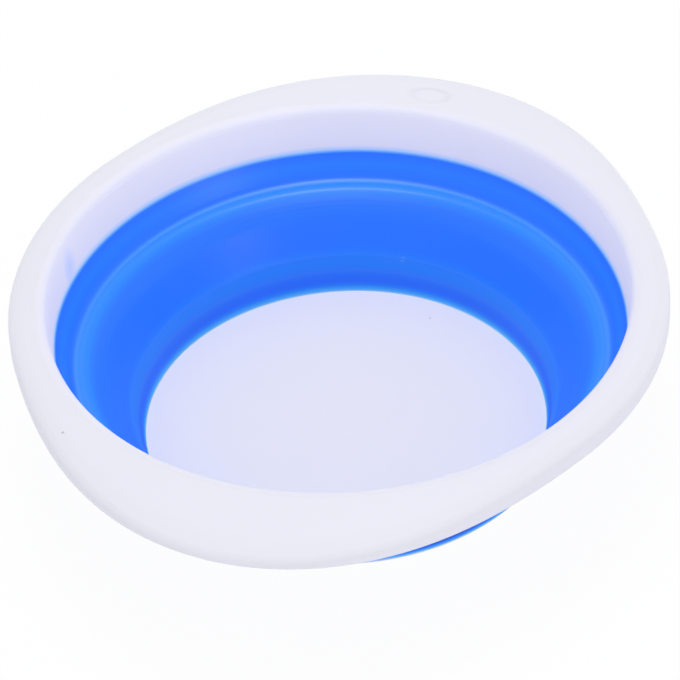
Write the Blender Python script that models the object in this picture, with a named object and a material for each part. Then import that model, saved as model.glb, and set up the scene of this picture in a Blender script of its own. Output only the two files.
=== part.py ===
"""Collapsible camp washbasin, standing expanded.

A rigid white rim with two carrying ears is joined to a rigid white floor by a soft blue wall,
which folds so that the rim drops down around the floor. Metres, +Z up. The origin is on the
ground under the centre of the floor, the rim slides along Z and the ears reach along X.
"""
import math

import bmesh
import bpy
from mathutils import Matrix, Vector

# How finely round shapes are divided, and how close two points of one shape may lie
RING_STEPS = 76
ARC_STEP = math.radians(15)
SMOOTH_ANGLE = math.radians(32)
MERGE_DISTANCE = 0.0001

# Clearance between pieces that are moulded onto each other
BOND_GAP = 0.0003

# Soft wall: its inner face, from the floor up and outwards
FLOOR_RADIUS = 0.0993
FLOOR_HEIGHT = 0.0043
FOOT_FLARE = 0.0016
FOOT_RISE = 0.0053
LOWER_BAND_FLARE = 0.0016
LOWER_BAND_RISE = 0.0059
LOWER_HINGE_FLARE = 0.0024
LOWER_HINGE_RISE = 0.0080
PANEL_FLARE = 0.0146
PANEL_RISE = 0.0273
STEP_WIDTH = 0.0135
UPPER_BAND_FLARE = 0.0070
UPPER_BAND_RISE = 0.0133

# Soft wall: fillets of the inner face, and thickness
FOOT_FILLET = 0.0060
LOWER_LINE_FILLET = 0.0040
LOWER_HINGE_FILLET = 0.0060
PANEL_ROLL_FILLET = 0.0110
STEP_CORNER_FILLET = 0.0020
WALL_THICKNESS = 0.0020
HINGE_THICKNESS = 0.0011
FOOT_THICKNESS = 0.0017

# Collar: the top of the soft wall, moulded around the tongue under the rim
TONGUE_THICKNESS = 0.0010
TONGUE_DEPTH = 0.0045
COLLAR_LEG = 0.0012
COLLAR_LAP = 0.0030

# Rim: a thin shell, seen in section from the opening outwards
RIM_WALL = 0.0022
CREST_RISE = 0.0253
CREST_INSET = 0.0073
BEND_RADIUS = 0.0053
FLANGE_WIDTH = 0.0081
LIP_RADIUS = 0.0052
SKIRT_DEPTH = 0.0139
EAR_WIDTH = 0.0235
EAR_FALL = 0.0077
STEADY_FALL_SHARE = 0.51
EAR_HALF_ANGLE = math.radians(61.3)
BEND_STEPS = 6
FLANGE_STEPS = 4
LIP_STEPS = 4

# Oval mark pressed into the top of one ear, a little to the side of the ear's middle
MARK_LENGTH = 0.0208
MARK_WIDTH = 0.0160
MARK_DEPTH = 0.0005
MARK_INSET = 0.0126
MARK_ANGLE = math.radians(-1.3)
MARK_SIDES = 28

# Floor plate
PLATE_THICKNESS = 0.0024
FLANGE_HEIGHT = 0.0022
FOOT_RING_WIDTH = 0.0072
EDGE_CHAMFER = 0.0005
GATE_RADIUS = 0.0050
GATE_DEPTH = 0.0006

# Radii and heights that follow from the sizes above
foot_bend_radius = FLOOR_RADIUS + FOOT_FLARE
lower_line_radius = foot_bend_radius + LOWER_BAND_FLARE
lower_fold_radius = lower_line_radius + LOWER_HINGE_FLARE
panel_top_radius = lower_fold_radius + PANEL_FLARE
step_radius = panel_top_radius + STEP_WIDTH
seam_radius = step_radius + UPPER_BAND_FLARE
foot_bend_height = FLOOR_HEIGHT + FOOT_RISE
lower_line_height = foot_bend_height + LOWER_BAND_RISE
lower_fold_height = lower_line_height + LOWER_HINGE_RISE
step_height = lower_fold_height + PANEL_RISE
seam_height = step_height + UPPER_BAND_RISE
crest_radius = seam_radius + CREST_INSET
crest_height = seam_height + CREST_RISE
full_flange = FLANGE_WIDTH + EAR_WIDTH
foot_radius = FLOOR_RADIUS + FOOT_THICKNESS


def clear_scene():
    for old in list(bpy.data.objects):
        bpy.data.objects.remove(old)


def plastic(name, colour, roughness):
    material = bpy.data.materials.new(name)
    material.use_nodes = True
    shader = material.node_tree.nodes["Principled BSDF"]
    shader.inputs["Base Color"].default_value = (*colour, 1)
    shader.inputs["Roughness"].default_value = roughness
    shader.inputs["Metallic"].default_value = 0
    return material


def group(name, height):
    """An empty on the slide axis, which carries the pieces that move together."""
    empty = bpy.data.objects.new(name, None)
    empty.location.z = height
    bpy.context.scene.collection.objects.link(empty)
    return empty


def add_piece(name, bm, carrier, material):
    """Makes an object from bm, whose points are measured from the ground, under its carrier."""
    bmesh.ops.recalc_face_normals(bm, faces=bm.faces)
    bmesh.ops.translate(bm, verts=bm.verts, vec=-carrier.location)
    mesh = bpy.data.meshes.new(name)
    bm.to_mesh(mesh)
    bm.free()
    mesh.shade_smooth()
    mesh.set_sharp_from_angle(angle=SMOOTH_ANGLE)
    mesh.materials.append(material)
    piece = bpy.data.objects.new(name, mesh)
    piece.parent = carrier
    bpy.context.scene.collection.objects.link(piece)
    return piece


def turned(outline):
    """A solid turned around Z from a closed outline of (radius, height) points."""
    bm = bmesh.new()
    corners = [bm.verts.new((radius, 0, height)) for radius, height in outline]
    edges = [bm.edges.new(pair) for pair in zip(corners, corners[1:] + corners[:1])]
    bmesh.ops.spin(bm, geom=edges, cent=Vector(), axis=Vector((0, 0, 1)),
                   angle=math.tau, steps=RING_STEPS, use_merge=True)
    return bm


def turned_disc(outline):
    """A solid turned around Z from an outline that starts and ends on the axis."""
    bm = bmesh.new()
    corners = [bm.verts.new((radius, 0, height)) for radius, height in outline]
    edges = [bm.edges.new(pair) for pair in zip(corners, corners[1:])]
    bmesh.ops.spin(bm, geom=edges, cent=Vector(), axis=Vector((0, 0, 1)),
                   angle=math.tau, steps=RING_STEPS, use_merge=True)
    on_axis = [v for v in bm.verts if math.hypot(v.co.x, v.co.y) < BOND_GAP]
    bmesh.ops.remove_doubles(bm, verts=on_axis, dist=BOND_GAP)
    return bm


def lofted_ring(section_at):
    """A solid joined up from closed sections of (radius, height) points around Z."""
    bm = bmesh.new()
    loops = []
    for step in range(RING_STEPS):
        angle = math.tau * step / RING_STEPS
        turn = Matrix.Rotation(angle, 3, "Z")
        loops.append([bm.verts.new(turn @ Vector((r, 0, z))) for r, z in section_at(angle)])
    for near, far in zip(loops, loops[1:] + loops[:1]):
        for k in range(len(near)):
            bm.faces.new((near[k - 1], near[k], far[k], far[k - 1]))
    bmesh.ops.remove_doubles(bm, verts=bm.verts, dist=MERGE_DISTANCE)
    return bm


def arc(centre, radii, start, end, steps):
    """Points of an elliptic arc in section, from one angle to another, ends included."""
    angles = [start + (end - start) * k / steps for k in range(steps + 1)]
    return [(centre[0] + radii[0] * math.cos(a), centre[1] + radii[1] * math.sin(a)) for a in angles]


def rounded_path(corners):
    """A path of Vectors through (radius, height, fillet) corners, and the station of each fillet.

    A station is a length along the path. A fillet is shortened where its neighbours leave
    no room for it."""
    at = [Vector(corner[:2]) for corner in corners]
    points = [at[0]]
    fillets = []
    for before, corner, after, fillet in zip(at, at[1:], at[2:], [c[2] for c in corners[1:-1]]):
        heading = (corner - before).normalized()
        leaving = (after - corner).normalized()
        turn = math.atan2(heading.cross(leaving), heading.dot(leaving))
        room = min((corner - before).length, (after - corner).length) / 2
        reach = min(fillet * math.tan(abs(turn) / 2), room)
        radius = reach / math.tan(abs(turn) / 2)
        side = Vector((-heading.y, heading.x)) * math.copysign(radius, turn)
        centre = corner - heading * reach + side
        steps = max(2, math.ceil(abs(turn) / ARC_STEP))
        first = len(points)
        for k in range(steps + 1):
            points.append(centre - Matrix.Rotation(turn * k / steps, 2) @ side)
        fillets.append((first, len(points) - 1))
    points.append(at[-1])
    stations = [0.0]
    for near, far in zip(points, points[1:]):
        stations.append(stations[-1] + (far - near).length)
    return points, stations, [(stations[a], stations[b]) for a, b in fillets]


def blend_between(knots, station):
    """The value at a station, between knots of (station, value)."""
    for (s0, v0), (s1, v1) in zip(knots, knots[1:]):
        if station <= s1:
            return v0 + (v1 - v0) * max(station - s0, 0) / (s1 - s0)
    return knots[-1][1]


class SoftWall:
    """The blue wall as one moulding: its inner face, thickness and the places where it folds."""

    def __init__(self):
        corners = [
            (seam_radius, seam_height - BOND_GAP, 0),
            (step_radius, step_height, STEP_CORNER_FILLET),
            (panel_top_radius, step_height, PANEL_ROLL_FILLET),
            (lower_fold_radius, lower_fold_height, LOWER_HINGE_FILLET),
            (lower_line_radius, lower_line_height, LOWER_LINE_FILLET),
            (foot_bend_radius, foot_bend_height, FOOT_FILLET),
            (FLOOR_RADIUS, FLOOR_HEIGHT, 0),
        ]
        self.points, self.stations, fillets = rounded_path(corners)
        step, roll, fold, line, foot = fillets
        self.upper_hinge = step[0]
        self.roll_start = roll[0]
        self.lower_hinge = sum(fold) / 2
        self.end = self.stations[-1]
        self.thickness = [
            (0.0, WALL_THICKNESS),
            (step[0], HINGE_THICKNESS),
            (step[1], HINGE_THICKNESS),
            (roll[0], WALL_THICKNESS),
            (fold[0] - WALL_THICKNESS, WALL_THICKNESS),
            (self.lower_hinge, HINGE_THICKNESS),
            (line[1], WALL_THICKNESS),
            (foot[0], WALL_THICKNESS),
            (self.end, FOOT_THICKNESS),
        ]

    def place(self, station):
        """The point of the inner face at a station, and the direction out through the wall."""
        last = len(self.points) - 2
        k = next((i for i in range(last) if station < self.stations[i + 1]), last)
        along = self.points[k + 1] - self.points[k]
        share = (station - self.stations[k]) / (self.stations[k + 1] - self.stations[k])
        return self.points[k] + along * share, Vector((-along.y, along.x)).normalized()

    def between(self, start, end):
        """Stations from start to end, with those of the path's own points between them."""
        inner = [s for s in self.stations if start + BOND_GAP < s < end - BOND_GAP]
        return [start, *inner, end]

    def inner_face(self, start, end):
        return [tuple(self.place(s)[0]) for s in self.between(start, end)]

    def outer_face(self, start, end):
        face = []
        for station in self.between(start, end):
            before = self.place(max(station - BOND_GAP, 0))[1]
            after = self.place(min(station + BOND_GAP, self.end))[1]
            point = self.place(station)[0]
            out = (before + after).normalized()
            face.append(tuple(point + out * blend_between(self.thickness, station)))
        return face

    def band(self, start, end):
        """The closed outline of a stretch of the wall, kept clear of its neighbours."""
        start += BOND_GAP / 2
        end -= BOND_GAP / 2
        return self.inner_face(start, end) + self.outer_face(start, end)[::-1]


def upper_band_outline(wall):
    """The top stretch of the wall, with the collar whose groove holds the rim's tongue."""
    end = wall.upper_hinge - BOND_GAP / 2
    groove_outer = seam_radius + RIM_WALL + BOND_GAP
    groove_inner = seam_radius + RIM_WALL - TONGUE_THICKNESS - BOND_GAP
    groove_floor = seam_height - TONGUE_DEPTH - BOND_GAP
    collar_radius = groove_outer + COLLAR_LEG
    collar_top = seam_height + COLLAR_LAP
    collar_end = min(TONGUE_DEPTH + 2 * COLLAR_LEG, end / 2)
    collar = [
        (groove_inner, seam_height - BOND_GAP),
        (groove_inner, groove_floor),
        (groove_outer, groove_floor),
        (groove_outer, collar_top),
        (collar_radius, collar_top),
        (collar_radius, groove_floor - COLLAR_LEG),
    ]
    return wall.inner_face(0, end)[::-1] + collar + wall.outer_face(collar_end, end)


def lower_band_outline(wall):
    """The bottom stretch of the wall, which stands on the flange of the floor plate."""
    start = wall.lower_hinge + BOND_GAP / 2
    bottom = FLANGE_HEIGHT + BOND_GAP
    foot = [(FLOOR_RADIUS, bottom), (foot_radius, bottom)]
    return wall.inner_face(start, wall.end) + foot + wall.outer_face(start, wall.end - FOOT_THICKNESS)[::-1]


def flange_width(angle):
    """How far the rim's top reaches out past its crest before the lip: widest in the ears."""
    off_ear = abs((angle + math.pi / 2) % math.pi - math.pi / 2)
    if off_ear >= EAR_HALF_ANGLE:
        return FLANGE_WIDTH
    return FLANGE_WIDTH + EAR_WIDTH * math.cos(math.pi / 2 * off_ear / EAR_HALF_ANGLE) ** 2


def flange_fall(run):
    """How far the rim's top has come down at a distance past the crest, and its slope there."""
    share = run / full_flange
    fall = EAR_FALL * (STEADY_FALL_SHARE * share + (1 - STEADY_FALL_SHARE) * share**2)
    slope = EAR_FALL / full_flange * (STEADY_FALL_SHARE + 2 * (1 - STEADY_FALL_SHARE) * share)
    return fall, math.atan(slope)


def wall_lean():
    """How far the rim's inner wall leans out so that it runs smoothly into the bend at its top."""
    rise = CREST_RISE - BEND_RADIUS
    return math.atan2(CREST_INSET, rise) - math.asin(BEND_RADIUS / math.hypot(CREST_INSET, rise))


def rim_section(angle):
    """The rim's shell in section: over the top from the opening to the skirt, and back beneath."""
    flange = flange_width(angle)
    lean = wall_lean()
    first_slope = flange_fall(0)[1]
    last_slope = flange_fall(flange)[1]
    top_end = flange + LIP_RADIUS * math.sin(last_slope)
    bend_centre = (crest_radius, crest_height - BEND_RADIUS)
    lip_height = crest_height - flange_fall(top_end)[0] - LIP_RADIUS * math.cos(last_slope)
    lip_centre = (crest_radius + flange, lip_height)
    skirt_radius = crest_radius + flange + LIP_RADIUS
    skirt_bottom = crest_height - SKIRT_DEPTH
    tongue_bottom = seam_height - TONGUE_DEPTH
    outside = seam_radius + RIM_WALL
    inner_lip = LIP_RADIUS - RIM_WALL
    inner_bend = BEND_RADIUS - RIM_WALL
    runs = [top_end * k / (FLANGE_STEPS + 1) for k in range(1, FLANGE_STEPS + 1)]
    top = [(crest_radius + run, crest_height - flange_fall(run)[0]) for run in runs]
    return [
        (seam_radius, seam_height),
        *arc(bend_centre, (BEND_RADIUS, BEND_RADIUS), math.pi - lean, math.pi / 2 - first_slope, BEND_STEPS),
        *top,
        *arc(lip_centre, (LIP_RADIUS, LIP_RADIUS), math.pi / 2 - last_slope, 0, LIP_STEPS),
        (skirt_radius, skirt_bottom),
        (skirt_radius - RIM_WALL, skirt_bottom),
        *arc(lip_centre, (inner_lip, inner_lip), 0, math.pi / 2 - last_slope, LIP_STEPS - 1),
        *[(r, z - RIM_WALL) for r, z in top[-2::-1]],
        *arc(bend_centre, (inner_bend, inner_bend), math.pi / 2 - first_slope, math.pi - lean, BEND_STEPS - 2),
        (outside, seam_height + COLLAR_LAP + BOND_GAP),
        (outside, tongue_bottom),
        (outside - TONGUE_THICKNESS, tongue_bottom),
        (outside - TONGUE_THICKNESS, seam_height),
    ]


def press_mark(rim):
    """Cuts the shallow oval into the top of the ear, square to the crowned surface there."""
    fall, slope = flange_fall(MARK_INSET)
    bm = bmesh.new()
    bmesh.ops.create_cone(bm, cap_ends=True, segments=MARK_SIDES, radius1=1, radius2=1, depth=1)
    size = Matrix.Diagonal((MARK_WIDTH / 2, MARK_LENGTH / 2, MARK_WIDTH, 1))
    lift = Matrix.Translation((0, 0, MARK_WIDTH / 2 - MARK_DEPTH))
    tilt = Matrix.Rotation(slope, 4, "Y")
    place = Matrix.Translation((crest_radius + MARK_INSET, 0, crest_height - fall))
    turn = Matrix.Rotation(MARK_ANGLE, 4, "Z")
    bmesh.ops.transform(bm, matrix=turn @ place @ tilt @ lift @ size, verts=bm.verts)
    cutter = add_piece("mark_cutter", bm, rim.parent, rim.data.materials[0])
    cutter.hide_render = True
    cutter.display_type = "WIRE"
    cut = rim.modifiers.new("oval mark", "BOOLEAN")
    cut.operation = "DIFFERENCE"
    cut.solver = "EXACT"
    cut.object = cutter


def floor_plate_outline():
    """The floor's half section from the middle of its top, round the rim of its foot, and back."""
    underside = FLOOR_HEIGHT - PLATE_THICKNESS
    step_edge = FLOOR_RADIUS - BOND_GAP
    ring_inner = foot_radius - FOOT_RING_WIDTH
    return [
        (0, FLOOR_HEIGHT),
        (step_edge, FLOOR_HEIGHT),
        (step_edge, FLANGE_HEIGHT),
        (foot_radius, FLANGE_HEIGHT),
        (foot_radius, EDGE_CHAMFER),
        (foot_radius - EDGE_CHAMFER, 0),
        (ring_inner, 0),
        (ring_inner - EDGE_CHAMFER, underside),
        (GATE_RADIUS, underside),
        (GATE_RADIUS - EDGE_CHAMFER, underside + GATE_DEPTH),
        (0, underside + GATE_DEPTH),
    ]


def build_washbasin():
    white = plastic("white_plastic", (0.84, 0.84, 0.89), 0.45)
    pale = plastic("white_floor_plastic", (0.80, 0.81, 0.89), 0.5)
    blue = plastic("blue_soft_wall", (0.03, 0.17, 0.95), 0.42)
    base = group("base_carrier", 0)
    rim_carrier = group("rim_carrier", seam_height)
    wall = SoftWall()
    rim = add_piece("rim", lofted_ring(rim_section), rim_carrier, white)
    press_mark(rim)
    add_piece("upper_band", turned(upper_band_outline(wall)), rim_carrier, blue)
    add_piece("step_ring", turned(wall.band(wall.upper_hinge, wall.roll_start)), rim_carrier, blue)
    add_piece("folding_panel", turned(wall.band(wall.roll_start, wall.lower_hinge)), base, blue)
    add_piece("lower_band", turned(lower_band_outline(wall)), base, blue)
    add_piece("floor_plate", turned_disc(floor_plate_outline()), base, pale)


clear_scene()
build_washbasin()
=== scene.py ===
# %% [markdown]
# # A collapsible camp washbasin
# The basin is made of three mouldings: a rigid white rim with two carrying ears, a soft blue wall
# that folds, and a rigid white floor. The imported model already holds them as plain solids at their
# real size. This script keeps those sizes and makes the surfaces that the eye sees: fine curves,
# an oval pressed into one ear, soft edges and the finish of each plastic.

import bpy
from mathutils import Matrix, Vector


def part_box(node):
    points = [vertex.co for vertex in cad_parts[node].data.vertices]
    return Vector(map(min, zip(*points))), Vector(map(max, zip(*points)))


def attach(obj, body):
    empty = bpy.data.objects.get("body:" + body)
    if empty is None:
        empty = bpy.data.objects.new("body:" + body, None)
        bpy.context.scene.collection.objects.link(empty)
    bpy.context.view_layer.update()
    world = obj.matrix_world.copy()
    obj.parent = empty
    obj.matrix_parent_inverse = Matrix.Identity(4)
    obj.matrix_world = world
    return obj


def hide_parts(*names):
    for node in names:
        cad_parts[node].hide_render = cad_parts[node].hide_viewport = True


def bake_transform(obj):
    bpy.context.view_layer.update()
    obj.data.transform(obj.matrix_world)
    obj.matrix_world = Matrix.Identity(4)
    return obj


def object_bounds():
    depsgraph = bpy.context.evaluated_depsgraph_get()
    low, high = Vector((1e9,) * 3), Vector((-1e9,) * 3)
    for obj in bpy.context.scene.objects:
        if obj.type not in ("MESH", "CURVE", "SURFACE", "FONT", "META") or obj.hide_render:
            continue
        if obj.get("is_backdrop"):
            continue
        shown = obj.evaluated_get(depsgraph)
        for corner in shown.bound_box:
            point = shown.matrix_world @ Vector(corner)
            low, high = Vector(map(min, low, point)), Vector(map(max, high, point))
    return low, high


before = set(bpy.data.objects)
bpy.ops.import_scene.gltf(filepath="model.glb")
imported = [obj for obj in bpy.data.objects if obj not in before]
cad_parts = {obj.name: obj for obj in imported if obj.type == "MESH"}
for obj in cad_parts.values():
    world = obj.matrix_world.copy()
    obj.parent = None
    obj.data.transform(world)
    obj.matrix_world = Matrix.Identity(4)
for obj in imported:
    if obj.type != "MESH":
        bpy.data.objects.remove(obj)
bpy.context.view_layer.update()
print("solids:", ", ".join(sorted(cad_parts)))

# %% Imports
import math

import bmesh
import bpy
from mathutils import Matrix, Vector

print("Blender", bpy.app.version_string)

# %% [markdown]
# ## Sizes read from the solids
# Nothing is measured twice. The outline of each solid gives the radii and heights that the new
# surfaces have to meet: how far the ears and the sides of the rim reach, where the rim starts and
# ends, how wide the floor is, and at which heights the soft wall changes direction.

# %% Outlines of the solids
rim_low, rim_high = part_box("rim")
floor_low, floor_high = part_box("floor_plate")
step_low, step_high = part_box("step_ring")
lower_low, lower_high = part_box("lower_band")
upper_low, upper_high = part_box("upper_band")

ear_reach = rim_high.x
side_reach = rim_high.y
crest_height = rim_high.z
floor_height = floor_high.z
foot_radius = floor_high.x
print(f"ears reach {ear_reach:.4f} m, sides {side_reach:.4f} m, crest at {crest_height:.4f} m")
print(f"floor from {floor_low.z:.4f} to {floor_height:.4f} m, foot radius {foot_radius:.4f} m")
for zone, low, high in (("lower band", lower_low, lower_high), ("step", step_low, step_high),
                        ("upper band", upper_low, upper_high)):
    print(f"{zone} from {low.z:.4f} to {high.z:.4f} m")

# %% Sizes that the outlines don't show, in metres
SEAM_RADIUS = 0.1400  # the seam is the line where white rim and blue wall meet
SEAM_HEIGHT = 0.0641
FLOOR_RADIUS = 0.0993
print(f"seam {2 * SEAM_RADIUS:.4f} m wide, floor {2 * FLOOR_RADIUS:.4f} m wide")

# %% [markdown]
# ## The camera
# The photograph is taken with a long lens from a raised viewpoint, about 40 degrees above the
# table, and the camera is tipped a little to one side. The marked ear points away from it.
# The view is built as a chain of turns about the middle of the seam, so each number has a meaning
# of its own: the side the camera stands on, its height, its tip and its distance.

# %% A short way to add objects


def add_object(name, data):
    """A new object in the scene."""
    made = bpy.data.objects.new(name, data)
    bpy.context.scene.collection.objects.link(made)
    return made


# %% Camera
VIEW_SIDE = math.radians(-72.07)
VIEW_HEIGHT = math.radians(40.766)
VIEW_TIP = math.radians(-3.518)
VIEW_DISTANCE = 2.4382
VIEW_OFFSET = Vector((-0.00052, -0.00525, 0))
LENS = 264.7  # millimetres, like the sensor's width
SENSOR = 36.0

camera_data = bpy.data.cameras.new("camera")
camera_data.lens = LENS
camera_data.sensor_width = SENSOR
camera = add_object("camera", camera_data)
bpy.context.scene.camera = camera
towards_seam = Matrix.Translation((0, 0, SEAM_HEIGHT))
side = Matrix.Rotation(VIEW_SIDE, 4, "Z")
raised = Matrix.Rotation(math.pi / 2 - VIEW_HEIGHT, 4, "X")
offset = Matrix.Translation(VIEW_OFFSET + Vector((0, 0, VIEW_DISTANCE)))
tipped = Matrix.Rotation(VIEW_TIP, 4, "Z")
camera.matrix_world = towards_seam @ side @ raised @ offset @ tipped
print("camera stands at", tuple(round(v, 4) for v in camera.matrix_world.translation))

# %% [markdown]
# ## Floor and light
# The object stands on a pale floor in soft studio light. An even sky fills the bowl, and a wide
# lamp high above reaches the floor of the basin and draws the bright lines on the far side of the
# soft wall, where its folds turn upward. A ring of low lamps lights the steep inner walls over the
# opposite side of the rim. It is stronger on the right and in front. One lamp of the ring also
# shows in reflections, as the soft highlight on the left of the blue upper band. The Light Path
# node makes the floor and the sky show white to the camera and in reflections, so the lamps need no
# extra strength. Three helpers add a node in one line of code, here and in all that follows.

# %% A short way to add nodes


def add_node(tree, kind, settings=None, **inputs):
    """Adds a node, sets its options, and sets or links its inputs, given as i0, i1 or by name, with
    an underscore for a space."""
    made = tree.nodes.new(kind)
    for key, value in (settings or {}).items():
        setattr(made, key, value)
    for key, value in inputs.items():
        numbered = key[0] == "i" and key[1:].isdigit()
        socket = made.inputs[int(key[1:]) if numbered else key.replace("_", " ")]
        if isinstance(value, bpy.types.NodeSocket):
            tree.links.new(value, socket)
        else:
            socket.default_value = value
    return made


def maths(tree, operation, first, second=0.0, clamp=False):
    """One Math node, given by its operation and two values or sockets."""
    made = add_node(tree, "ShaderNodeMath", {"operation": operation, "use_clamp": clamp},
                    i0=first, i1=second)
    return made.outputs[0]


def product(tree, first, second, clamp=False):
    """One Math node that multiplies."""
    return maths(tree, "MULTIPLY", first, second, clamp)


# %% Rays that look at the surroundings
LOOKING_RAYS = ("Is Camera Ray", "Is Glossy Ray", "Is Transmission Ray")


def looked_at(tree):
    """One for the rays that look at the surroundings, and zero for those that carry light."""
    path = add_node(tree, "ShaderNodeLightPath").outputs
    value = path[LOOKING_RAYS[0]]
    for ray in LOOKING_RAYS[1:]:
        value = maths(tree, "MAXIMUM", value, path[ray])
    return value


print("white is seen by:", ", ".join(LOOKING_RAYS))

# %% World
BACKGROUND = (1.0, 1.0, 1.0, 1)  # what is seen around the object
SKY = (1.0, 1.0, 1.0, 1)  # what lights it
SKY_STRENGTH = 0.48

bpy.context.scene.view_settings.view_transform = "Standard"
world = bpy.data.worlds.new("studio")
bpy.context.scene.world = world
world.use_nodes = True
tree = world.node_tree
tree.nodes.clear()
sky_light = add_node(tree, "ShaderNodeBackground", Color=SKY, Strength=SKY_STRENGTH)
sky_seen = add_node(tree, "ShaderNodeBackground", Color=BACKGROUND)
sky = add_node(tree, "ShaderNodeMixShader", Fac=looked_at(tree), i1=sky_light.outputs[0],
               i2=sky_seen.outputs[0])
add_node(tree, "ShaderNodeOutputWorld", Surface=sky.outputs[0])
print("sky lights the object at", SKY_STRENGTH)

# %% Lamps
LAMP_DISTANCE = 1.4
OVERHEAD_ELEVATION = math.radians(84)
OVERHEAD_SIZE = 0.6
OVERHEAD_POWER = 9.2
RING_ELEVATION = math.radians(12)
RING_LAMPS = 8
RING_SIZE = 0.45
RING_POWER = 2.1
RING_LEAN = 0.15  # how much stronger the ring is on the right
RING_FRONT = 0.25  # how much stronger it is in front
MIRRORED_LAMP = 1


def soft_lamp(name, bearing, elevation, size, power, mirrored=True):
    """A round lamp that looks at the middle of the seam. Its bearing is taken from the camera's
    side. One that isn't mirrored gives light but no highlight."""
    around = VIEW_SIDE - math.pi / 2 + bearing
    level = LAMP_DISTANCE * math.cos(elevation)
    rise = LAMP_DISTANCE * math.sin(elevation)
    above = Vector((level * math.cos(around), level * math.sin(around), rise))
    lamp_data = bpy.data.lights.new(name, "AREA")
    lamp_data.shape = "DISK"
    lamp_data.size = size
    lamp_data.energy = power
    lamp = add_object(name, lamp_data)
    turn = (-above).to_track_quat("-Z", "Y").to_matrix().to_4x4()
    lamp.matrix_world = Matrix.Translation(above + Vector((0, 0, SEAM_HEIGHT))) @ turn
    lamp.visible_glossy = mirrored


soft_lamp("overhead", math.pi, OVERHEAD_ELEVATION, OVERHEAD_SIZE, OVERHEAD_POWER)
for k in range(RING_LAMPS):
    bearing = math.tau * k / RING_LAMPS
    power = RING_POWER * (1 + RING_LEAN * math.sin(bearing) + RING_FRONT * math.cos(bearing))
    soft_lamp(f"ring_{k}", bearing, RING_ELEVATION, RING_SIZE, power, k == MIRRORED_LAMP)
print("lamps:", 1 + RING_LAMPS)

# %% Floor of the studio
STUDIO_FLOOR = 3.0  # half its width

floor_mesh = bpy.data.meshes.new("studio_floor")
floor_bm = bmesh.new()
bmesh.ops.create_grid(floor_bm, x_segments=1, y_segments=1, size=STUDIO_FLOOR)
floor_bm.to_mesh(floor_mesh)
floor_bm.free()
studio_floor = add_object("studio_floor", floor_mesh)
print("studio floor", 2 * STUDIO_FLOOR, "m wide")

# %% The studio floor's finish
FLOOR_COLOUR = (0.90, 0.90, 0.93, 1)
SHADOW_SHARE = 0.04  # how much of the lit floor, with its shadow, stays to be seen

floor_finish = bpy.data.materials.new("studio_floor")
floor_finish.use_nodes = True
tree = floor_finish.node_tree
tree.nodes.clear()
matt = add_node(tree, "ShaderNodeBsdfDiffuse", Color=FLOOR_COLOUR)
white = add_node(tree, "ShaderNodeEmission", Color=BACKGROUND)
seen = product(tree, looked_at(tree), 1 - SHADOW_SHARE)
mixed = add_node(tree, "ShaderNodeMixShader", Fac=seen, i1=matt.outputs[0], i2=white.outputs[0])
add_node(tree, "ShaderNodeOutputMaterial", Surface=mixed.outputs[0])
floor_mesh.materials.append(floor_finish)
studio_floor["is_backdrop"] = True
print("share of the lit floor that shows under the white:", SHADOW_SHARE)

# %% [markdown]
# ## Helpers for turned pieces
# Every piece of the basin is round, so it starts as a section: a closed line of points, each with a
# radius and a height. Blender can turn such a line with the Spin operator or the Screw modifier.
# Here the points are placed ring by ring instead, because the rings can then lie closer together
# where an ear needs them, and each point can carry values for the materials and for later nodes.

# %% Sections from corners and fillets


def arc(centre, radius, start, end, steps):
    """Points along part of a circle, from one angle to another."""
    angles = [start + (end - start) * k / steps for k in range(steps + 1)]
    return [(centre[0] + radius * math.cos(a), centre[1] + radius * math.sin(a)) for a in angles]


def rounded(corners, arc_step=math.radians(7.5)):
    """Points through (radius, height, fillet) corners, each corner rounded by its fillet."""
    at = [Vector(corner[:2]) for corner in corners]
    points = [at[0]]
    for before, corner, after, fillet in zip(at, at[1:], at[2:], [c[2] for c in corners[1:-1]]):
        heading = (corner - before).normalized()
        leaving = (after - corner).normalized()
        turn = math.atan2(heading.cross(leaving), heading.dot(leaving))
        room = min((corner - before).length, (after - corner).length) / 2
        reach = min(fillet * math.tan(abs(turn) / 2), room)
        radius = reach / math.tan(abs(turn) / 2)
        sideways = Vector((-heading.y, heading.x)) * math.copysign(radius, turn)
        centre = corner - heading * reach + sideways
        steps = max(2, math.ceil(abs(turn) / arc_step))
        for k in range(steps + 1):
            points.append(centre - Matrix.Rotation(turn * k / steps, 2) @ sideways)
    points.append(at[-1])
    return points


def spaced(points, spacing):
    """The same line with more points, so that none lie further apart than the spacing."""
    line = [Vector(points[0])]
    for near, far in zip(points, points[1:]):
        near, far = Vector(near), Vector(far)
        parts = max(1, math.ceil((far - near).length / spacing))
        line += [near.lerp(far, k / parts) for k in range(1, parts + 1)]
    return line


# %% Rings of points turned into a piece
MERGE = 0.00002  # points on the axis that lie closer together than this become one


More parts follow.
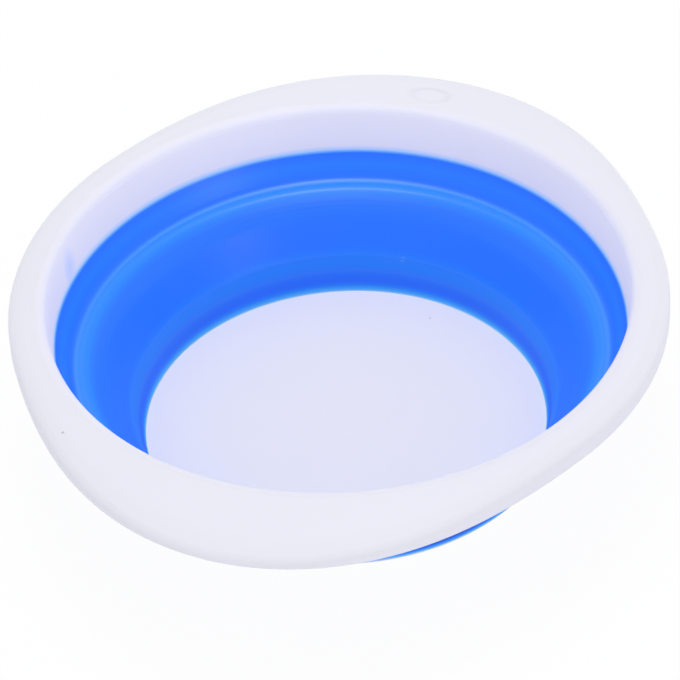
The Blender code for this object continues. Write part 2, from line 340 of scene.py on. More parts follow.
def turned_piece(name, section, angles, values=None, on_axis=False):
    """A piece from one section, repeated at each angle around Z, with values per section point."""
    bm = bmesh.new()
    layers = {key: bm.verts.layers.float.new(key) for key in values or {}}
    loops = []
    for angle in angles:
        loop = []
        for k, (radius, height) in enumerate(section):
            vert = bm.verts.new((radius * math.cos(angle), radius * math.sin(angle), height))
            for key, layer in layers.items():
                vert[layer] = values[key][k]
            loop.append(vert)
        loops.append(loop)
    pairs = len(section) - 1 if on_axis else len(section)
    for near, far in zip(loops, loops[1:] + loops[:1]):
        for k in range(pairs):
            after = (k + 1) % len(section)
            bm.faces.new((near[k], near[after], far[after], far[k]))
    if on_axis:
        middle = [v for v in bm.verts if math.hypot(v.co.x, v.co.y) < MERGE]
        bmesh.ops.remove_doubles(bm, verts=middle, dist=MERGE)
    if bm.calc_volume(signed=True) < 0:
        bmesh.ops.reverse_faces(bm, faces=bm.faces)
    mesh = bpy.data.meshes.new(name)
    bm.to_mesh(mesh)
    bm.free()
    mesh.shade_smooth()
    print(name, len(mesh.polygons), "faces")
    return add_object(name, mesh)


# %% Angles around a turned piece
RING_STEPS = 288

even_angles = [math.tau * k / RING_STEPS for k in range(RING_STEPS)]
print("sections stand", math.degrees(even_angles[1]), "degrees apart")

# %% [markdown]
# ## Shared effects
# Three effects return on more than one plastic, so each is a node group that is built once: the
# fine matt skin that a mould leaves, the faint marks of use, and single spots such as a dark speck.
# Each group reads Object coordinates and puts out plain values, and the materials place it with
# values of their own.

# %% A short way to make a group


def new_group(name, inputs, output):
    """An empty shader node group: the tree, what it is given, and the socket of its result."""
    group = bpy.data.node_groups.new(name, "ShaderNodeTree")
    for label, value in inputs.items():
        kind = "NodeSocketVector" if isinstance(value, tuple) else "NodeSocketFloat"
        group.interface.new_socket(label, in_out="INPUT", socket_type=kind).default_value = value
    group.interface.new_socket(output, in_out="OUTPUT", socket_type="NodeSocketFloat")
    start = group.nodes.new("NodeGroupInput")
    end = group.nodes.new("NodeGroupOutput")
    print("group", name, "takes", ", ".join(inputs), "and gives", output)
    return group, start.outputs, end.inputs[output]


def object_place(tree):
    """Where a point lies on its piece."""
    return add_node(tree, "ShaderNodeTexCoord").outputs["Object"]


def noise(tree, place, scale, detail):
    """What a Noise Texture gives, a value around a half."""
    made = add_node(tree, "ShaderNodeTexNoise", Vector=place, Scale=scale, Detail=detail)
    return made.outputs["Fac"]


def vector_maths(tree, operation, first, second=(0, 0, 0)):
    """What a Vector Math node gives: a Vector, or a Value for a length."""
    settings = {"operation": operation}
    return add_node(tree, "ShaderNodeVectorMath", settings, i0=first, i1=second).outputs


# %% Group: the matt skin that a mould leaves
skin_group, given, result = new_group(
    "mould_skin", {"Grain size": 0.0006, "Waviness size": 0.03, "Waviness": 0.3}, "Height")
tree = skin_group
place = object_place(tree)
grain_scale = maths(tree, "DIVIDE", 1.0, given["Grain size"])
wave_scale = maths(tree, "DIVIDE", 1.0, given["Waviness size"])
grain = noise(tree, place, grain_scale, detail=2.0)
wave_part = product(tree, noise(tree, place, wave_scale, detail=1.0), given["Waviness"])
tree.links.new(maths(tree, "ADD", grain, wave_part), result)

# %% Group: marks of use, the rubbed patches
PATCH_SCALE = 14.0
HALF = 0.5  # the middle of what a Noise Texture gives

use_group, given, result = new_group(
    "marks_of_use", {"Roughness": 0.4, "Rubbed": 0.06, "Scratches": 0.1}, "Roughness")
tree = use_group
place = object_place(tree)
uneven = maths(tree, "SUBTRACT", noise(tree, place, PATCH_SCALE, detail=4.0), HALF)
rub = product(tree, uneven, given["Rubbed"])
rubbed_rough = maths(tree, "ADD", given["Roughness"], rub)

# %% Group: marks of use, the scratches
SCRATCH_STRETCH = (60.0, 420.0, 60.0)  # a noise squeezed along Y, so that its lines run along X
SCRATCH_WIDTH = 0.0035
SCRATCHED_SCALE = 30.0
SCRATCHED_FROM = 0.62  # scratches lie only where a second noise is above this

stretched = vector_maths(tree, "MULTIPLY", place, SCRATCH_STRETCH)["Vector"]
lines = noise(tree, stretched, scale=1.0, detail=6.0)
ridge = maths(tree, "ABSOLUTE", maths(tree, "SUBTRACT", lines, HALF))
thin_line = maths(tree, "LESS_THAN", ridge, SCRATCH_WIDTH)
here = noise(tree, place, SCRATCHED_SCALE, detail=2.0)
some = maths(tree, "GREATER_THAN", here, SCRATCHED_FROM)
scratch = product(tree, product(tree, thin_line, some), given["Scratches"])
tree.links.new(maths(tree, "ADD", rubbed_rough, scratch, clamp=True), result)
print("group marks_of_use has", len(tree.nodes), "nodes")

# %% Group: one spot, an ellipsoid with a soft edge
spot_group, given, result = new_group(
    "spot", {"Place": (0, 0, 0), "Half size": (0.001, 0.001, 0.001), "Softness": 0.5}, "Mask")
tree = spot_group
place = object_place(tree)
away = vector_maths(tree, "SUBTRACT", place, given["Place"])["Vector"]
away = vector_maths(tree, "DIVIDE", away, given["Half size"])["Vector"]
within = maths(tree, "SUBTRACT", 1.0, vector_maths(tree, "LENGTH", away)["Value"])
tree.links.new(maths(tree, "DIVIDE", within, given["Softness"], clamp=True), result)

# %% [markdown]
# ## White plastic of the rim
# The rim is a smooth satin plastic, white with a cool tinge. Its base colour is nearly flat on the
# real thing, so the life comes from small differences: a faint cloudiness in the melt, the matt
# skin of the mould and rubbed patches. The lip is coloured a little darker than the top, which is
# painted shade, and the inner wall lighter and warmer, which is painted light. The mesh carries
# values that say where these places are, and an Attribute node reads them. A thin strip along the
# seam takes on the blue of the wall, which shines through it from behind. A faint painted shade
# follows the edge of the oval mark. A dark speck on the rim is a mark of use with a place of its
# own, and a pale blue streak on the inner wall is a painted reflection of the blue wall.

# %% Helpers for materials


def material_start(name):
    """A new material, its tree and its shader."""
    finish = bpy.data.materials.new(name)
    finish.use_nodes = True
    return finish, finish.node_tree, finish.node_tree.nodes["Principled BSDF"]


def use_group_in(tree, group, **inputs):
    """Places a node group in a tree, with values of its own, and gives its result."""
    return add_node(tree, "ShaderNodeGroup", {"node_tree": group}, **inputs).outputs[0]


def mixed_colour(tree, factor, first, second):
    """One Mix node for two colours."""
    mix = add_node(tree, "ShaderNodeMix", {"data_type": "RGBA"}, i0=factor, i6=first, i7=second)
    return mix.outputs[2]


def point_value(tree, name):
    """A value that the mesh carries on its points."""
    return add_node(tree, "ShaderNodeAttribute", {"attribute_name": name}).outputs["Fac"]


def add_skin(tree, shader, depth, strength, **sizes):
    """Presses the skin of the mould into a material as a shallow bump."""
    skin = use_group_in(tree, skin_group, **sizes)
    bump = add_node(tree, "ShaderNodeBump", Height=skin, Distance=depth, Strength=strength)
    tree.links.new(bump.outputs["Normal"], shader.inputs["Normal"])


# %% Material: white plastic, colours of its places
WHITE = (0.755, 0.752, 0.842, 1)
WHITE_SHADE = (0.74, 0.737, 0.827, 1)
# The lip's darker colour is painted shade.
LIP_PAINTED_SHADE = (0.715, 0.715, 0.785, 1)
LIP_FROM = 0.7  # the share of the top's width from which it takes on the lip's colour
LIP_GAIN = 1.5
# The inner wall's lighter, warmer colour is painted light.
INNER_PAINTED_LIGHT = (0.905, 0.866, 0.862, 1)

white_plastic, tree, shader = material_start("white_plastic")
place = object_place(tree)
clouds = noise(tree, place, scale=9.0, detail=3.0)
body_colour = mixed_colour(tree, clouds, WHITE, WHITE_SHADE)
# Where the painted shade of the lip lies.
past_top = maths(tree, "SUBTRACT", point_value(tree, "reach"), LIP_FROM, clamp=True)
near_lip = product(tree, past_top, LIP_GAIN)
around_lip = product(tree, point_value(tree, "turn"), LIP_GAIN)
on_lip = maths(tree, "ADD", near_lip, around_lip, clamp=True)
body_colour = mixed_colour(tree, on_lip, body_colour, LIP_PAINTED_SHADE)
# Painted light on the inner wall.
body_colour = mixed_colour(tree, point_value(tree, "inner"), body_colour, INNER_PAINTED_LIGHT)
print("white", WHITE[:3], "lip", LIP_PAINTED_SHADE[:3], "inner wall", INNER_PAINTED_LIGHT[:3])

# %% Material: white plastic, the painted shade at the mark's edge and the glow at the seam
# The darker colour at the mark's edge is painted shade.
MARK_PAINTED_SHADE = (0.60, 0.60, 0.67, 1)
MARK_PAINTED_SHADE_SHARE = 0.28
SEAM_GLOW = (0.47, 0.68, 1.0, 1)
SEAM_GLOW_WIDTH = 0.0028
SEAM_GLOW_FADE = 1.3
SEAM_GLOW_DEPTH = 0.0008  # how far into the rim's wall the glow goes

# Painted shade in the ring around the mark.
ring_part = product(tree, point_value(tree, "mark_ring_shade"), MARK_PAINTED_SHADE_SHARE)
body_colour = mixed_colour(tree, ring_part, body_colour, MARK_PAINTED_SHADE)
height = add_node(tree, "ShaderNodeSeparateXYZ", Vector=place).outputs["Z"]
above_seam = maths(tree, "DIVIDE", maths(tree, "SUBTRACT", height, SEAM_HEIGHT), SEAM_GLOW_WIDTH)
close_to_seam = maths(tree, "SUBTRACT", 1.0, above_seam, clamp=True)
near_seam = maths(tree, "POWER", close_to_seam, SEAM_GLOW_FADE)
level_place = vector_maths(tree, "MULTIPLY", place, (1, 1, 0))["Vector"]
radius = vector_maths(tree, "LENGTH", level_place)["Value"]
inside = maths(tree, "LESS_THAN", radius, SEAM_RADIUS + SEAM_GLOW_DEPTH)
glow = product(tree, near_seam, inside)
body_colour = mixed_colour(tree, glow, body_colour, SEAM_GLOW)
print(f"the blue glows through {1000 * SEAM_GLOW_WIDTH:.1f} mm above the seam")

# %% Material: white plastic, painted reflection streak, speck and skin
# The pale blue streak on the inner wall is a painted reflection of the blue wall.
BLUE_REFLECTION_STREAK = (0.58, 0.70, 1.0, 1)
STREAK_PLACE = (0.0070, 0.1406, 0.0722)
STREAK_SIZE = (0.0080, 0.0080, 0.0125)
STREAK_SHARE = 0.7
SPECK = (0.40, 0.40, 0.45, 1)
RIM_SPECK_PLACE = (-0.1258, 0.0996, 0.0868)
SPECK_SIZE = (0.0010, 0.0010, 0.0014)

# Painted reflection of the blue wall on the inner wall.
streak = use_group_in(tree, spot_group, Place=STREAK_PLACE, Half_size=STREAK_SIZE, Softness=0.9)
streak_part = product(tree, streak, STREAK_SHARE)
body_colour = mixed_colour(tree, streak_part, body_colour, BLUE_REFLECTION_STREAK)
speck = use_group_in(tree, spot_group, Place=RIM_SPECK_PLACE, Half_size=SPECK_SIZE, Softness=0.8)
body_colour = mixed_colour(tree, speck, body_colour, SPECK)
tree.links.new(body_colour, shader.inputs["Base Color"])
add_skin(tree, shader, depth=0.00003, strength=0.3, Grain_size=0.0007, Waviness_size=0.04,
         Waviness=0.4)
use = use_group_in(tree, use_group, Roughness=0.60, Rubbed=0.08, Scratches=0.08)
tree.links.new(use, shader.inputs["Roughness"])
shader.inputs["Specular IOR Level"].default_value = 0.3
print("white plastic", len(tree.nodes), "nodes")

# %% [markdown]
# ## White plastic of the floor
# The floor is the same kind of plastic in another moulding. Dishes slide over it, so it has more
# fine scratches than the rim and a slightly matter skin. One faint speck lies near its edge.

# %% Material: floor plastic
FLOOR_WHITE = (0.893, 0.876, 0.896, 1)
FLOOR_SHADE = (0.878, 0.861, 0.881, 1)
FLOOR_SPECK_PLACE = (0.0845, -0.0207, 0.0043)
FLOOR_SPECK_SIZE = (0.0010, 0.0010, 0.0010)
FLOOR_SPECK_SHARE = 0.45

floor_plastic, tree, shader = material_start("white_floor_plastic")
place = object_place(tree)
clouds = noise(tree, place, scale=12.0, detail=3.0)
body_colour = mixed_colour(tree, clouds, FLOOR_WHITE, FLOOR_SHADE)
speck = use_group_in(tree, spot_group, Place=FLOOR_SPECK_PLACE, Half_size=FLOOR_SPECK_SIZE,
                     Softness=0.8)
faint = product(tree, speck, FLOOR_SPECK_SHARE)
body_colour = mixed_colour(tree, faint, body_colour, SPECK)
tree.links.new(body_colour, shader.inputs["Base Color"])
add_skin(tree, shader, depth=0.00003, strength=0.35, Grain_size=0.0006, Waviness_size=0.03,
         Waviness=0.2)
use = use_group_in(tree, use_group, Roughness=0.60, Rubbed=0.08, Scratches=0.14)
tree.links.new(use, shader.inputs["Roughness"])
shader.inputs["Specular IOR Level"].default_value = 0.3
print("floor plastic", len(tree.nodes), "nodes")

# %% [markdown]
# ## Blue soft plastic of the wall
# The wall is a soft, rubbery plastic that lets some light through. Where it is thin, at its hinges
# and edges, it shows paler and greener than in its thick panels. The value thin_and_glow says how
# pale each place is, and a colour ramp turns it into the blue of that place. It holds the plastic's
# own paler colour where it is thin, and also painted glow and painted light: at the seam, on the
# step, along the lower band and beside the white floor. Two more values follow the wall:
# painted_highlight, painted highlights along the seam and the bends and a painted glow at the foot
# of the outer face, and shaded, painted shade where the outer face stays dark under the rim. One
# pale spot at the foot of the panel is rubbed. At a grazing view such a skin looks matt, so a Layer
# Weight node adds to the roughness there.

# %% Material: blue soft wall, colours of its places
# The palest blues stand for thin plastic and also for painted glow and painted light.
BLUE_BY_THIN_AND_GLOW = [
    (0.0, (0.014, 0.166, 1.0, 1)),
    (0.3, (0.018, 0.277, 1.0, 1)),
    (0.67, (0.06, 0.44, 1.0, 1)),
    (0.85, (0.13, 0.57, 1.0, 1)),
    (1.0, (0.70, 0.84, 1.0, 1)),
]
CLOUDINESS = 0.03
SHADED_BLUE = (0.022, 0.065, 0.38, 1)
# Painted highlight along the seam and the bends.
PAINTED_HIGHLIGHT_PALE = (0.35, 0.36, 1.0, 1)

blue_wall, tree, shader = material_start("blue_soft_wall")
place = object_place(tree)
clouds = maths(tree, "SUBTRACT", noise(tree, place, scale=16.0, detail=3.0), HALF)
cloudy = product(tree, clouds, CLOUDINESS)
# How pale: thinness together with painted glow and painted light.
thin_and_glow_level = maths(tree, "ADD", point_value(tree, "thin_and_glow"), cloudy, clamp=True)
ramp = add_node(tree, "ShaderNodeValToRGB", Fac=thin_and_glow_level)
for k, (share, colour) in enumerate(BLUE_BY_THIN_AND_GLOW):
    stop = ramp.color_ramp.elements[k] if k < 2 else ramp.color_ramp.elements.new(share)
    stop.position = share
    stop.color = colour
# Painted highlight and painted glow, read from the mesh.
wall_colour = mixed_colour(tree, point_value(tree, "painted_highlight"), ramp.outputs["Color"], PAINTED_HIGHLIGHT_PALE)
wall_colour = mixed_colour(tree, point_value(tree, "shaded"), wall_colour, SHADED_BLUE)
print("blue ramp with", len(ramp.color_ramp.elements), "stops")

# %% Material: blue soft wall, the rubbed spot, skin and gloss
RUB_PALE = (0.16, 0.46, 1.0, 1)
RUB_PLACE = (0.1047, -0.0018, 0.0227)
RUB_SIZE = (0.0030, 0.0020, 0.0022)
RUB_SHARE = 0.9
FLECK_SCALE = 1400.0
FLECK_FROM = 0.45
FLECK_EDGE = 4.0  # how hard the edge of each fleck is
GRAZING_ROUGHNESS = 0.75
GRAZING_POWER = 2.0

rubbed = use_group_in(tree, spot_group, Place=RUB_PLACE, Half_size=RUB_SIZE, Softness=0.7)
over = maths(tree, "SUBTRACT", noise(tree, place, FLECK_SCALE, detail=1.0), FLECK_FROM)
flecks = product(tree, over, FLECK_EDGE, clamp=True)
rub_part = product(tree, product(tree, rubbed, flecks), RUB_SHARE)
tree.links.new(mixed_colour(tree, rub_part, wall_colour, RUB_PALE), shader.inputs["Base Color"])
add_skin(tree, shader, depth=0.00004, strength=0.3, Grain_size=0.0009, Waviness_size=0.02,
         Waviness=0.6)
use = use_group_in(tree, use_group, Roughness=0.37, Rubbed=0.06, Scratches=0.05)
facing = add_node(tree, "ShaderNodeLayerWeight", Blend=0.5).outputs["Facing"]
grazing = product(tree, maths(tree, "POWER", facing, GRAZING_POWER), GRAZING_ROUGHNESS)
rough = maths(tree, "ADD", use, grazing, clamp=True)
tree.links.new(rough, shader.inputs["Roughness"])
shader.inputs["Specular IOR Level"].default_value = 0.38
print("blue soft wall", len(tree.nodes), "nodes")

# %% [markdown]
# ## The rim
# The rim's section is the same all the way round, but its top grows wider towards the two ears and
# comes down further there. A loft through many different sections would work. It is simpler to turn
# one section and let a rule shape it. Each point carries what the rule needs: its run, the distance
# from the crest along the top; its reach, the share of the ear's width that it moves out by;
# whether it sinks with the top; and for the lip, which is an arc around its own centre, how far
# along the arc it lies, its turn, and at which radius, its arm. A Geometry Nodes tree applies the
# rule, and presses the oval mark into one ear.

# %% Section of the rim
RIM_WALL = 0.0022
CREST_INSET = 0.0073
BEND_RADIUS = 0.0053
LIP_RADIUS = 0.0052
SKIRT_DEPTH = 0.0139
EAR_WIDTH = ear_reach - side_reach
EAR_FALL = 0.0077  # how far the top comes down on its way to the lip
STEADY_FALL_SHARE = 0.51
EAR_HALF_ANGLE = math.radians(61.3)

crest_radius = SEAM_RADIUS + CREST_INSET
flange_width = side_reach - LIP_RADIUS - crest_radius
full_flange = flange_width + EAR_WIDTH
skirt_bottom = crest_height - SKIRT_DEPTH
bend_centre = (crest_radius, crest_height - BEND_RADIUS)
quarter = math.pi / 2
steady_slope = EAR_FALL * STEADY_FALL_SHARE / full_flange
first_slope = math.atan(steady_slope)
bend_rise = crest_height - BEND_RADIUS - SEAM_HEIGHT
to_bend = math.hypot(CREST_INSET, bend_rise)
lean = math.atan2(CREST_INSET, bend_rise) - math.asin(BEND_RADIUS / to_bend)
bend_start = math.pi - lean
bend_end = quarter - first_slope
print(f"the inner wall leans out by {math.degrees(lean):.1f} degrees")
print(f"the top is {flange_width:.4f} m wide at the sides and {full_flange:.4f} m at the ears")

# %% The rim's section, point by point
WALL_SPACING = 0.001
BEND_STEPS = 18
CROWN_STEPS = 88
LIP_STEPS = 14
EDGE_ROUND = 0.0007
EDGE_STEPS = 3
INNER_LIP_STEPS = 8
UNDER_STEPS = 10
INNER_FADE = 4  # the inner wall's colour fades over the first quarter of the bend
GROOVE_DEPTH = 0.0033  # the groove behind the seam, in which the wall's collar sits
TONGUE_EDGE = 0.0010


def rim_section():
    """Points of the rim: radius, height, run, reach, sinks, turn, arm, upper, inner. A lip point
    stands at its arc's centre until the rule moves it out by its arm."""
    points = []

    def add(line, run=0.0, reach=0.0, sinks=0.0, turn=0.0, arm=0.0, upper=0.0, inner=0.0):
        points.extend((r, z, run, reach, sinks, turn, arm, upper, inner) for r, z in line)

    def add_lip(arm, turns, upper):
        for turn in turns:
            add([(crest_radius + flange_width, crest_height)], flange_width, 1.0, 1.0, turn, arm,
                upper)

    # Up the inner wall, over the bend and out along the top.
    bend = arc(bend_centre, BEND_RADIUS, bend_start, bend_end, BEND_STEPS)
    add(spaced([(SEAM_RADIUS, SEAM_HEIGHT), bend[0]], WALL_SPACING)[:-1], inner=1.0)
    for k, point in enumerate(bend):
        add([point], upper=1.0, inner=max(0.0, 1 - INNER_FADE * k / BEND_STEPS))
    for share in [k / CROWN_STEPS for k in range(1, CROWN_STEPS)]:
        add([(crest_radius, crest_height)], share * flange_width, share, 1.0, upper=1.0)
    # Around the lip, down the skirt and around its lower edge.
    add_lip(LIP_RADIUS, [k / LIP_STEPS for k in range(LIP_STEPS + 1)], 1.0)
    edge_height = skirt_bottom + EDGE_ROUND
    edge = (side_reach - EDGE_ROUND, edge_height)
    add(arc(edge, EDGE_ROUND, -quarter / 4, -quarter, EDGE_STEPS), reach=1.0, turn=1.0)
    inner_edge = (side_reach - RIM_WALL + EDGE_ROUND, edge_height)
    add(arc(inner_edge, EDGE_ROUND, -quarter, -math.pi + quarter / 4, EDGE_STEPS), reach=1.0,
        turn=1.0)
    # Back along the hollow underside, and down to the tongue that carries the soft wall.
    inner_turns = [1 - k / INNER_LIP_STEPS for k in range(INNER_LIP_STEPS + 1)]
    add_lip(LIP_RADIUS - RIM_WALL, inner_turns, 0.0)
    for share in [k / UNDER_STEPS for k in range(UNDER_STEPS - 1, 0, -1)]:
        add([(crest_radius, crest_height - RIM_WALL)], share * flange_width, share, 1.0)
    add(arc(bend_centre, BEND_RADIUS - RIM_WALL, bend_end, bend_start, UNDER_STEPS))
    outside = SEAM_RADIUS + RIM_WALL
    add([(outside, SEAM_HEIGHT + GROOVE_DEPTH), (outside, rim_low.z),
         (outside - TONGUE_EDGE, rim_low.z), (outside - TONGUE_EDGE, SEAM_HEIGHT)])
    return points


section = rim_section()
print("rim section has", len(section), "points")

# %% Angles around the rim, closer together at the marked ear
MARK_LENGTH = 0.0208
MARK_WIDTH = 0.0160
MARK_DEPTH = 0.0005
MARK_INSET = 0.0126
MARK_ANGLE = math.radians(-1.3)
FINE_REACH = 0.75  # of the mark's length, to each side of its middle
FINE_STEPS = 48

mark_radius = crest_radius + MARK_INSET
fine_span = FINE_REACH * MARK_LENGTH / mark_radius
off_mark = [(a - MARK_ANGLE + math.pi) % math.tau - math.pi for a in even_angles]
coarse = [MARK_ANGLE + a for a in off_mark if abs(a) > fine_span]
fine = [MARK_ANGLE + fine_span * k / FINE_STEPS for k in range(-FINE_STEPS, FINE_STEPS + 1)]
rim_angles = sorted(a % math.tau for a in coarse + fine)
print(len(rim_angles), "sections around the rim,", len(fine), "of them at the mark")

# %% The turned rim, before its ears are widened
rule_values = ("run", "reach", "sinks", "turn", "arm", "upper", "inner")
carried = {key: [p[k + 2] for p in section] for k, key in enumerate(rule_values)}
rim_shell = turned_piece("rim_shell", [p[:2] for p in section], rim_angles, carried)

# %% Helpers for Geometry Nodes


def geometry_tree(name, inputs):
    """An empty Geometry Nodes tree: the tree, what it is given, the socket of its result, and the
    identifiers by which a modifier knows its inputs."""
    tree = bpy.data.node_groups.new(name, "GeometryNodeTree")
    tree.interface.new_socket("Geometry", in_out="INPUT", socket_type="NodeSocketGeometry")
    sockets = {}
    for label, kind in inputs:
        socket = tree.interface.new_socket(label, in_out="INPUT", socket_type=kind)
        sockets[label] = socket.identifier
    tree.interface.new_socket("Geometry", in_out="OUTPUT", socket_type="NodeSocketGeometry")
    given = tree.nodes.new("NodeGroupInput").outputs
    return tree, given, tree.nodes.new("NodeGroupOutput").inputs["Geometry"], sockets


def named_value(tree, name):
    """A value that the mesh carries on its points."""
    stored = add_node(tree, "GeometryNodeInputNamedAttribute", {"data_type": "FLOAT"}, Name=name)
    return stored.outputs["Attribute"]


# %% Geometry Nodes: how much wider the rim is at each angle
EAR_INPUTS = ["Ear width", "Steady slope", "Growing slope", "Ear half angle", "Lip radius"]
MARK_INPUTS = ["Mark length", "Mark width", "Mark depth", "Mark radius", "Mark angle"]

inputs = [(label, "NodeSocketFloat") for label in EAR_INPUTS + MARK_INPUTS]
inputs.append(("Finish", "NodeSocketMaterial"))
tree, given, result, ear_sockets = geometry_tree("ears_and_mark", inputs)
reach, first_run, sinks, turn, arm, upper = [
    named_value(tree, name) for name in ("reach", "run", "sinks", "turn", "arm", "upper")]
position = add_node(tree, "GeometryNodeInputPosition").outputs["Position"]
axes = add_node(tree, "ShaderNodeSeparateXYZ", Vector=position).outputs
sideways, forwards = maths(tree, "ABSOLUTE", axes["Y"]), maths(tree, "ABSOLUTE", axes["X"])
angle = maths(tree, "ARCTAN2", sideways, forwards)
share = maths(tree, "MINIMUM", maths(tree, "DIVIDE", angle, given["Ear half angle"]), 1.0)
cosine = maths(tree, "COSINE", product(tree, share, quarter))
widening = product(tree, product(tree, cosine, cosine), given["Ear width"])
outward = product(tree, widening, reach)
run = maths(tree, "ADD", first_run, outward)
print("the rule takes", len(inputs), "inputs")

# %% Geometry Nodes: how the top falls and the lip turns


def slope_at(distance):
    """The angle by which the top falls at a distance from the crest."""
    twice = product(tree, distance, 2.0)
    growth = product(tree, twice, given["Growing slope"])
    steepness = maths(tree, "ADD", given["Steady slope"], growth)
    return maths(tree, "ARCTANGENT", steepness)


# The lip starts a little further out than its centre, where the slope is already steeper.
on_lip = maths(tree, "GREATER_THAN", arm, 0.0)
slope = slope_at(run)
lip_start = product(tree, given["Lip radius"], maths(tree, "SINE", slope))
run_out = maths(tree, "ADD", run, product(tree, lip_start, on_lip))
steady_part = product(tree, run_out, given["Steady slope"])
growing_part = product(tree, product(tree, run_out, run_out), given["Growing slope"])
top_fall = maths(tree, "ADD", steady_part, growing_part)
lip_drop = product(tree, given["Lip radius"], maths(tree, "COSINE", slope))
centre_fall = product(tree, lip_drop, on_lip)
fall = product(tree, maths(tree, "ADD", top_fall, centre_fall), sinks)
whole_turn = maths(tree, "SUBTRACT", quarter, slope)
lip_turn = maths(tree, "ADD", slope, product(tree, whole_turn, turn))
lip_out = product(tree, maths(tree, "SINE", lip_turn), arm)
lip_up = product(tree, maths(tree, "COSINE", lip_turn), arm)
print("the rule has", len(tree.nodes), "nodes so far")

# %% Geometry Nodes: move each point out and down
flange_run = product(tree, run, sinks)
level_share = maths(tree, "SUBTRACT", 1.0, sinks)
plain_run = product(tree, outward, level_share)
lip_centre_run = product(tree, first_run, on_lip)
move_length = maths(tree, "ADD", maths(tree, "ADD", flange_run, plain_run),
                    maths(tree, "SUBTRACT", lip_out, lip_centre_run))
level = vector_maths(tree, "MULTIPLY", position, (1, 1, 0))["Vector"]
direction = vector_maths(tree, "NORMALIZE", level)["Vector"]
move_out = add_node(tree, "ShaderNodeVectorMath", {"operation": "SCALE"}, i0=direction,
                    Scale=move_length).outputs["Vector"]
move_down = add_node(tree, "ShaderNodeCombineXYZ", Z=maths(tree, "SUBTRACT", lip_up, fall))
ear_move = vector_maths(tree, "ADD", move_out, move_down.outputs["Vector"])["Vector"]
widened = add_node(tree, "GeometryNodeSetPosition", Geometry=given["Geometry"], Offset=ear_move)
print("the rule has", len(tree.nodes), "nodes")

# %% Geometry Nodes: the oval mark, a shallow dish with a soft edge
MARK_BRIM = 1.02  # its soft edge lies between these shares of the way to its outline
MARK_FOOT = 0.82

new_place = add_node(tree, "GeometryNodeInputPosition").outputs["Position"]
turned_back = add_node(tree, "ShaderNodeVectorRotate", {"rotation_type": "Z_AXIS"},
                       Vector=new_place, Angle=product(tree, given["Mark angle"], -1.0))
local = add_node(tree, "ShaderNodeSeparateXYZ", Vector=turned_back.outputs["Vector"]).outputs
from_middle = maths(tree, "SUBTRACT", local["X"], given["Mark radius"])
half_width = product(tree, given["Mark width"], 0.5)
half_length = product(tree, given["Mark length"], 0.5)
across = maths(tree, "DIVIDE", from_middle, half_width)
along = maths(tree, "DIVIDE", local["Y"], half_length)
squares = maths(tree, "ADD", product(tree, across, across), product(tree, along, along))
oval = maths(tree, "SQRT", squares)
pressed = add_node(tree, "ShaderNodeMapRange", {"interpolation_type": "SMOOTHSTEP"}, Value=oval,
                   From_Min=MARK_BRIM, From_Max=MARK_FOOT)
depth = product(tree, pressed.outputs["Result"], given["Mark depth"])
depth = product(tree, depth, upper)
dent = add_node(tree, "ShaderNodeCombineXYZ", Z=product(tree, depth, -1.0))
marked = add_node(tree, "GeometryNodeSetPosition", Geometry=widened.outputs["Geometry"],
                  Offset=dent.outputs["Vector"])
print(f"the mark is pressed in by {1000 * MARK_DEPTH:.1f} mm")

# %% Geometry Nodes: a value for the painted shade in the ring around the mark, and the tree's end
RING_MIDDLE = 0.92
RING_REACH = 0.28

# Where the painted shade around the mark lies.
off_ring = maths(tree, "ABSOLUTE", maths(tree, "SUBTRACT", oval, RING_MIDDLE))
on_ring = maths(tree, "SUBTRACT", 1.0, maths(tree, "DIVIDE", off_ring, RING_REACH), clamp=True)
ring = product(tree, on_ring, upper)
ringed = add_node(tree, "GeometryNodeStoreNamedAttribute",
                  {"data_type": "FLOAT", "domain": "POINT"},
                  Geometry=marked.outputs["Geometry"], Name="mark_ring_shade", Value=ring)
realized = add_node(tree, "GeometryNodeRealizeInstances", Geometry=ringed.outputs["Geometry"])
finished = add_node(tree, "GeometryNodeSetMaterial", Geometry=realized.outputs["Geometry"],
                    Material=given["Finish"])
tree.links.new(finished.outputs["Geometry"], result)
print("ears_and_mark has", len(tree.nodes), "nodes")

# %% Run the tree and keep the result as a plain mesh


def run_tree(piece, tree, sockets, values):
    """Runs a Geometry Nodes tree on a piece and keeps what it makes as the piece's own mesh."""
    modifier = piece.modifiers.new(tree.name, "NODES")
    modifier.node_group = tree
    for label, value in values.items():
        modifier[sockets[label]] = value
    evaluated = piece.evaluated_get(bpy.context.evaluated_depsgraph_get())
    mesh = bpy.data.meshes.new_from_object(evaluated)
    piece.modifiers.clear()
    piece.data = mesh
    mesh.name = piece.name
    print(piece.name, len(mesh.polygons), "faces after", tree.name)


run_tree(rim_shell, tree, ear_sockets, {
    "Ear width": EAR_WIDTH,
    "Steady slope": steady_slope,
    "Growing slope": EAR_FALL * (1 - STEADY_FALL_SHARE) / full_flange**2,
    "Ear half angle": EAR_HALF_ANGLE, "Lip radius": LIP_RADIUS,
    "Mark length": MARK_LENGTH, "Mark width": MARK_WIDTH, "Mark depth": MARK_DEPTH,
    "Mark radius": mark_radius, "Mark angle": MARK_ANGLE, "Finish": white_plastic,
})

# %% Sharp edges, and the rim's place in the frame
SHARP_FROM = math.radians(50)

rim_shell.data.shade_smooth()
rim_shell.data.set_sharp_from_angle(angle=SHARP_FROM)
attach(rim_shell, "rim")
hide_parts("rim")
rim_reach = max(rim_shell.data.vertices, key=lambda vert: vert.co.x).co.x
print(f"the marked ear reaches {rim_reach:.4f} m from the axis")

